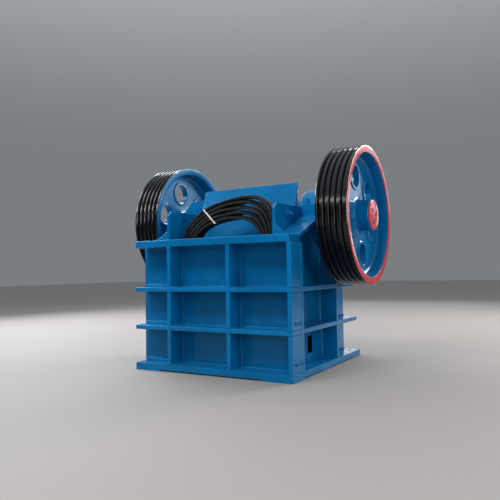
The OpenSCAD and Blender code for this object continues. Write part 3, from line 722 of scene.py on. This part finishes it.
# Swing jaw
# A cast pitman hangs on the shaft's eccentric: a barrel head, a ribbed body and lugs for the two rods.
# Its front carries the moving jaw plate, held by a wedge, and its foot the seat of the toggle.
# The guard plate on its top keeps stone from jumping out behind.
for node, name, soft in (("pitman_head", "pitman_head_barrel", 0.005), ("pitman", "pitman_casting", 0.006),
                         ("rod_lugs", "rod_lug_plates", 0.003), ("guard_plate", "guard_plate_sheet", 0.003)):
    fitted(rounded(taken_from(node), soft), name, "swing_jaw", "blue", blue_paint, node)
fitted(rounded(taken_from("moving_jaw_plate"), 0.005), "moving_jaw_casting", "swing_jaw", "jaw_steel",
       jaw_metal, "moving_jaw_plate")
for node, name in (("jaw_wedge", "jaw_wedge_bar"), ("toggle_seat", "swing_jaw_toggle_seat")):
    fitted(rounded(taken_from(node), 0.003), name, "swing_jaw", "dark_steel", bolt_steel, node)

# Toggle and tension rods
# The toggle plate is the safety strut between swing jaw and rear wall; its block is set by shims.
# Two rods with coil springs keep the jaw pressed against it.
for node, name, body, slot, metal in (
        ("toggle_plate", "toggle_strut", "frame", "dark_steel", jaw_metal),
        ("toggle_block", "toggle_seat_block", "frame", "dark_steel", bolt_steel),
        ("shims", "shim_pack", "frame", "machined", shaft_steel),
        ("tension_rods", "tension_rod_pair", "swing_jaw", "machined", shaft_steel),
        ("spring_plates", "spring_washers", "swing_jaw", "dark_steel", bolt_steel)):
    fitted(rounded(taken_from(node), 0.002), name, body, slot, metal, node)
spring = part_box("tension_springs")
springs = []
wire, turns = 0.0075, 6
rod_x, rod_z, coil_r = 0.26, 0.14, 0.045
for x in (-rod_x, rod_x):
    bpy.ops.object.select_all(action="DESELECT")
    bpy.ops.mesh.primitive_circle_add(vertices=12, radius=wire, fill_type="NOTHING",
                                      location=(x + coil_r - wire, spring[0].y + wire, rod_z))
    ring = bpy.context.object
    bpy.context.scene.cursor.location = (x, spring[0].y + wire, rod_z)
    bpy.ops.object.origin_set(type="ORIGIN_CURSOR")
    bpy.ops.object.modifier_add(type="SCREW")
    helix = ring.modifiers[-1]
    helix.axis, helix.angle = "Y", 2 * math.pi * turns
    helix.screw_offset = spring[1].y - spring[0].y - 2 * wire
    helix.steps = helix.render_steps = 24 * turns
    bpy.ops.object.modifier_apply(modifier=helix.name)
    springs.append(ring)
bpy.context.scene.cursor.location = (0, 0, 0)
piece = joined(springs)
bpy.ops.object.mode_set(mode="EDIT")
bpy.ops.mesh.select_all(action="SELECT")
bpy.ops.mesh.fill_holes(sides=12)
bpy.ops.mesh.select_all(action="SELECT")
bpy.ops.mesh.normals_make_consistent(inside=False)
bpy.ops.object.mode_set(mode="OBJECT")
bpy.ops.object.shade_smooth_by_angle(angle=math.radians(40))
fitted(piece, "coil_springs", "swing_jaw", "dark_steel", bolt_steel, "tension_springs")

# Stored belts
# Five rubber drive belts, each coiled in three rings, stand in the feed mouth for transport, tied once.
# Black rubber with a wrapped cloth cover, dusty along the backs; the rings lie beside and behind each other.
coat = Finish("belt_rubber")
dusty = coat.step(coat.noise(8, 5, 0.65), 0.4, 0.7)
belt_rubber = coat.done(Base_Color=coat.mix(dusty * 0.5, (0.004, 0.004, 0.004), (0.022, 0.02, 0.018)),
                        Roughness=0.42 + dusty * 0.3, Normal=coat.bumps((coat.noise(240, 2, 0.5), 0.0006)))
outer = [(-430, 1040), (-372, 1165), (-260, 1262), (-130, 1325), (20, 1366), (160, 1390), (300, 1376),
         (400, 1305), (440, 1180), (425, 980), (340, 790), (180, 640), (0, 585),
         (-180, 630), (-340, 760), (-425, 910)]
inner = [(-300, 1040), (-225, 1115), (-110, 1165), (20, 1185), (150, 1180), (250, 1140), (315, 1060),
         (330, 940), (260, 810), (130, 725), (0, 700), (-130, 725), (-250, 820), (-305, 930)]


def evenly(ring, count):
    """count points on a smooth closed curve through a ring, spread by angle about the coil's middle."""
    hub, line, n = Vector((10, 980)), [], len(ring)
    for i in range(n):
        a, b, c, d = (Vector(ring[(i + k) % n]) for k in (-1, 0, 1, 2))
        line += [0.5 * (2 * b + (c - a) * t + (2 * a - 5 * b + 4 * c - d) * t * t
                        + (3 * b - a - 3 * c + d) * t ** 3)
                 for t in [j / 24 for j in range(24)]]
    spots = [(math.atan2(p.y - hub.y, p.x - hub.x), p) for p in line]
    angles = [2 * math.pi * k / count for k in range(count)]
    return [min(spots, key=lambda s: abs(math.remainder(s[0] - a, 2 * math.pi)))[1] for a in angles]


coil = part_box("belt_bundle")
out_line, in_line = evenly(outer, 72), evenly(inner, 72)
rings = []
belts, layers = 5, 3
for i in range(belts * layers):
    layer, share = i % layers, (i // layers + 0.5) / belts
    y = coil[0].y + 0.001 + layer * 0.0315
    path = []
    for k in range(72):
        a = 2 * math.pi * k / 72
        sway = 0.035 * math.sin(2 * a + i * 2.1) + 0.02 * math.sin(5 * a + i * 1.3)
        spot = out_line[k].lerp(in_line[k], min(0.92, max(0.08, share + sway))) / 1000
        path.append((spot.x, y, spot.y))
    belt = drawn(path)
    bpy.ops.mesh.vertices_smooth(factor=0.5, repeat=3)
    bpy.ops.mesh.extrude_region_move(TRANSFORM_OT_translate={"value": (0, 0.03, 0)})
    bpy.ops.object.mode_set(mode="OBJECT")
    bpy.ops.object.modifier_add(type="SOLIDIFY")
    thick = belt.modifiers[-1]
    thick.thickness, thick.offset, thick.use_even_offset = 0.021, 0, True
    bpy.ops.object.modifier_apply(modifier=thick.name)
    bpy.ops.object.transform_apply(location=True, rotation=True, scale=True)
    bpy.ops.object.mode_set(mode="EDIT")
    bpy.ops.mesh.select_all(action="SELECT")
    bpy.ops.mesh.normals_make_consistent(inside=False)
    bpy.ops.object.mode_set(mode="OBJECT")
    rings.append(rounded(belt, 0.0045, 2, 50))
coils = joined(rings)
bpy.ops.object.shade_smooth_by_angle(angle=math.radians(40))
fitted(coils, "coiled_belts", "frame", "rubber", belt_rubber, "belt_bundle")

coat = Finish("woven_strap")
weave = coat.node("TexWave", {"bands_direction": "DIAGONAL"},
                  {"Vector": coat.place, "Scale": 160.0, "Distortion": 1.0})
faded = coat.step(coat.noise(20), 0.4, 0.7)
strap = coat.done(Base_Color=coat.mix(faded, (0.72, 0.71, 0.66), (0.5, 0.48, 0.43)),
                  Roughness=0.7 + weave * 0.1, Normal=coat.bumps((weave, 0.0006)))
fitted(rounded(taken_from("belt_tie"), 0.0008), "belt_tie_strap", "frame", "tie", strap, "belt_tie")

# Finish
low, high = cad_box
